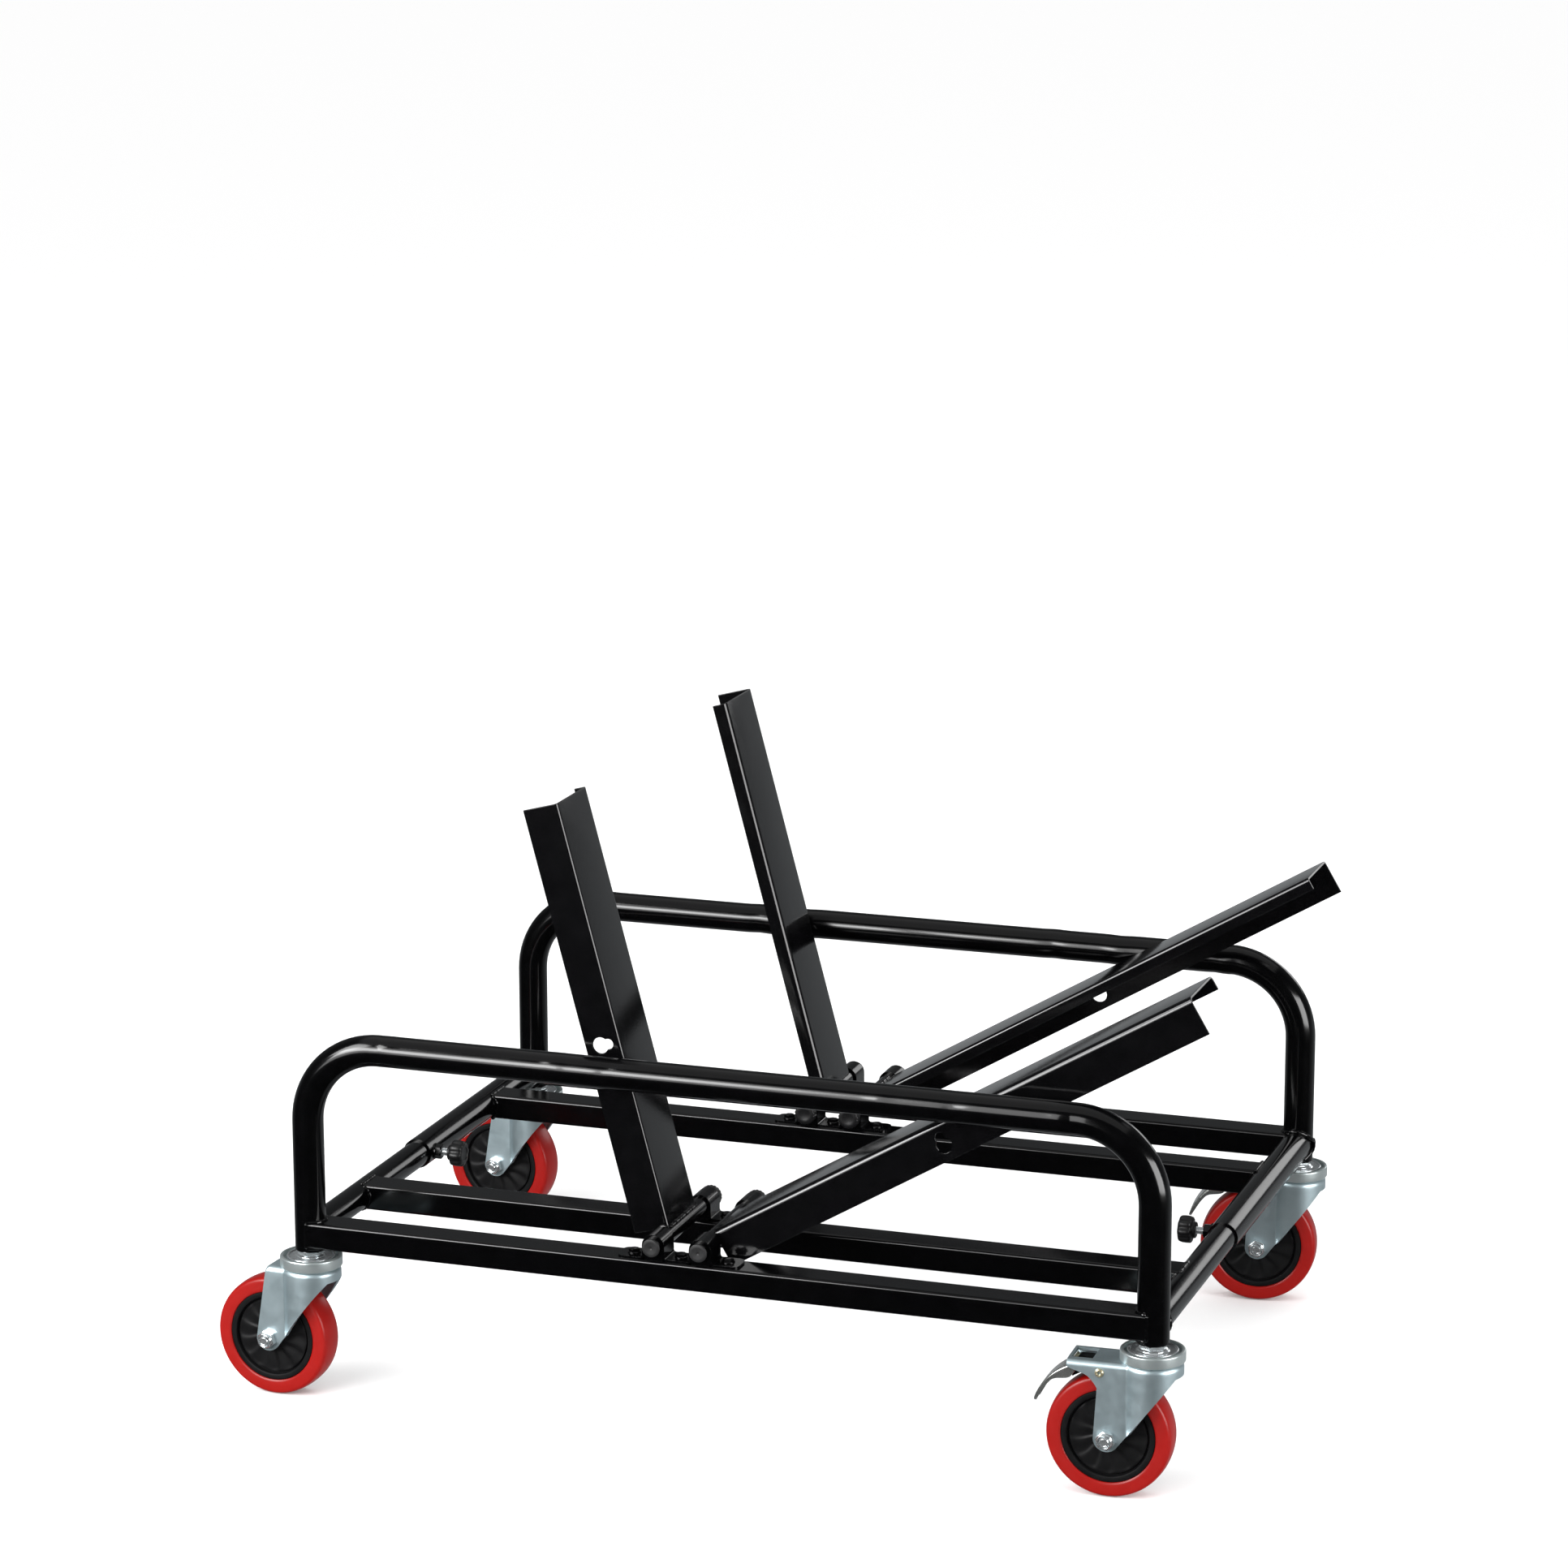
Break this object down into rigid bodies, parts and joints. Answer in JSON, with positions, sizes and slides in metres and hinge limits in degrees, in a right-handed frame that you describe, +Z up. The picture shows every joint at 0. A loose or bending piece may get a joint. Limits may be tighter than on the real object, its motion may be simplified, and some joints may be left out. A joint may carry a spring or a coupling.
{
  "type": "stacking chair trolley",
  "caption": "Wheeled trolley with hooped tube side frames, telescopic end tubes, a V cradle of tilting sheet arms and swivel casters, for moving a stack of chairs.",
  "frame": {"origin": "on the floor, below the middle of the trolley's bounding box", "axes": "+X along the rails toward the seat arms' tips, +Y across toward the side frame that carries the sleeves, +Z up"},
  "size_m": [1.0349, 0.684, 0.6398],
  "materials": {
    "black_paint": "gloss",
    "zinc": "satin zinc plate",
    "black_plastic": "satin",
    "grey_plastic": "matte",
    "red_tyre": "semi-gloss"
  },
  "bodies": {
    "near_frame": {"near_hoop": "black_paint", "near_outer_rail": "black_paint", "near_inner_rail": "black_paint", "near_left_slide_tube": "black_paint", "near_right_slide_tube": "black_paint", "near_saddle_blocks": "black_paint", "near_saddle_straps": "black_paint", "near_saddle_bolts": "black_paint", "near_leg_inserts": "black_plastic", "near_caster_stems": "zinc"},
    "far_frame": {"far_hoop": "black_paint", "far_outer_rail": "black_paint", "far_inner_rail": "black_paint", "far_left_sleeve": "black_paint", "far_right_sleeve": "black_paint", "far_clamp_nuts": "black_paint", "far_saddle_blocks": "black_paint", "far_saddle_straps": "black_paint", "far_saddle_bolts": "black_paint", "far_leg_inserts": "black_plastic", "far_caster_stems": "zinc"},
    "left_clamp": {"left_knob": "black_plastic", "left_knob_stud": "zinc"},
    "right_clamp": {"right_knob": "black_plastic", "right_knob_stud": "zinc"},
    "near_back_cradle_arm": {"near_back_arm": "black_paint", "near_back_barrel": "black_paint", "near_back_barrel_caps": "grey_plastic"},
    "near_seat_cradle_arm": {"near_seat_arm": "black_paint", "near_seat_barrel": "black_paint", "near_seat_barrel_caps": "grey_plastic"},
    "far_back_cradle_arm": {"far_back_arm": "black_paint", "far_back_barrel": "black_paint", "far_back_barrel_caps": "grey_plastic"},
    "far_seat_cradle_arm": {"far_seat_arm": "black_paint", "far_seat_barrel": "black_paint", "far_seat_barrel_caps": "grey_plastic"},
    "near_left_caster": {"near_left_fork": "zinc", "near_left_axle": "zinc"},
    "near_left_wheel": {"near_left_hub": "black_plastic", "near_left_tyre": "red_tyre"},
    "near_right_caster": {"near_right_fork": "zinc", "near_right_axle": "zinc", "near_right_brake_rivet": "zinc"},
    "near_right_wheel": {"near_right_hub": "black_plastic", "near_right_tyre": "red_tyre"},
    "near_right_brake": {"near_right_brake_pedal": "zinc", "near_right_brake_pad": "black_plastic"},
    "far_left_caster": {"far_left_fork": "zinc", "far_left_axle": "zinc"},
    "far_left_wheel": {"far_left_hub": "black_plastic", "far_left_tyre": "red_tyre"},
    "far_right_caster": {"far_right_fork": "zinc", "far_right_axle": "zinc", "far_right_brake_rivet": "zinc"},
    "far_right_wheel": {"far_right_hub": "black_plastic", "far_right_tyre": "red_tyre"},
    "far_right_brake": {"far_right_brake_pedal": "zinc", "far_right_brake_pad": "black_plastic"}
  },
  "joints": [
    {"name": "width_slide", "type": "slide", "parent": "near_frame", "child": "far_frame", "axis": [0, 1, 0], "range_m": [-0.08, 0.08]},
    {"name": "left_knob_turn", "type": "hinge", "parent": "far_frame", "child": "left_clamp", "pos_m": [-0.41418, -0.016, 0.1765], "axis": [1, 0, 0], "range_deg": [0, 360]},
    {"name": "right_knob_turn", "type": "hinge", "parent": "far_frame", "child": "right_clamp", "pos_m": [0.47182, -0.016, 0.1765], "axis": [-1, 0, 0], "range_deg": [0, 360]},
    {"name": "near_back_pivot", "type": "hinge", "parent": "near_frame", "child": "near_back_cradle_arm", "pos_m": [-0.03642, -0.307, 0.205], "axis": [0, 1, 0], "range_deg": [-65, 10]},
    {"name": "near_seat_pivot", "type": "hinge", "parent": "near_frame", "child": "near_seat_cradle_arm", "pos_m": [0.01307, -0.307, 0.205], "axis": [0, 1, 0], "range_deg": [-12, 25]},
    {"name": "far_back_pivot", "type": "hinge", "parent": "far_frame", "child": "far_back_cradle_arm", "pos_m": [-0.03642, 0.307, 0.205], "axis": [0, 1, 0], "range_deg": [-65, 10]},
    {"name": "far_seat_pivot", "type": "hinge", "parent": "far_frame", "child": "far_seat_cradle_arm", "pos_m": [0.01307, 0.307, 0.205], "axis": [0, 1, 0], "range_deg": [-12, 25]},
    {"name": "near_left_swivel", "type": "hinge", "parent": "near_frame", "child": "near_left_caster", "pos_m": [-0.41418, -0.307, 0.147], "axis": [0, 0, 1], "continuous": true},
    {"name": "near_left_wheel_spin", "type": "hinge", "parent": "near_left_caster", "child": "near_left_wheel", "pos_m": [-0.45408, -0.30421, 0.063], "axis": [0.0698, 0.9976, 0], "continuous": true},
    {"name": "near_right_swivel", "type": "hinge", "parent": "near_frame", "child": "near_right_caster", "pos_m": [0.47182, -0.307, 0.147], "axis": [0, 0, 1], "continuous": true},
    {"name": "near_right_wheel_spin", "type": "hinge", "parent": "near_right_caster", "child": "near_right_wheel", "pos_m": [0.43185, -0.3084, 0.063], "axis": [-0.0349, 0.9994, 0], "continuous": true},
    {"name": "near_right_brake_press", "type": "hinge", "parent": "near_right_caster", "child": "near_right_brake", "pos_m": [0.42435, -0.30866, 0.13], "axis": [0.0349, -0.9994, 0], "range_deg": [0, 5.5]},
    {"name": "far_left_swivel", "type": "hinge", "parent": "far_frame", "child": "far_left_caster", "pos_m": [-0.41418, 0.307, 0.147], "axis": [0, 0, 1], "continuous": true},
    {"name": "far_left_wheel_spin", "type": "hinge", "parent": "far_left_caster", "child": "far_left_wheel", "pos_m": [-0.45399, 0.31083, 0.063], "axis": [0.0958, 0.9954, 0], "continuous": true},
    {"name": "far_right_swivel", "type": "hinge", "parent": "far_frame", "child": "far_right_caster", "pos_m": [0.47182, 0.307, 0.147], "axis": [0, 0, 1], "continuous": true},
    {"name": "far_right_wheel_spin", "type": "hinge", "parent": "far_right_caster", "child": "far_right_wheel", "pos_m": [0.43221, 0.30143, 0.063], "axis": [-0.1392, 0.9903, 0], "continuous": true},
    {"name": "far_right_brake_press", "type": "hinge", "parent": "far_right_caster", "child": "far_right_brake", "pos_m": [0.42479, 0.30039, 0.13], "axis": [0.1392, -0.9903, 0], "range_deg": [0, 5.5]}
  ]
}
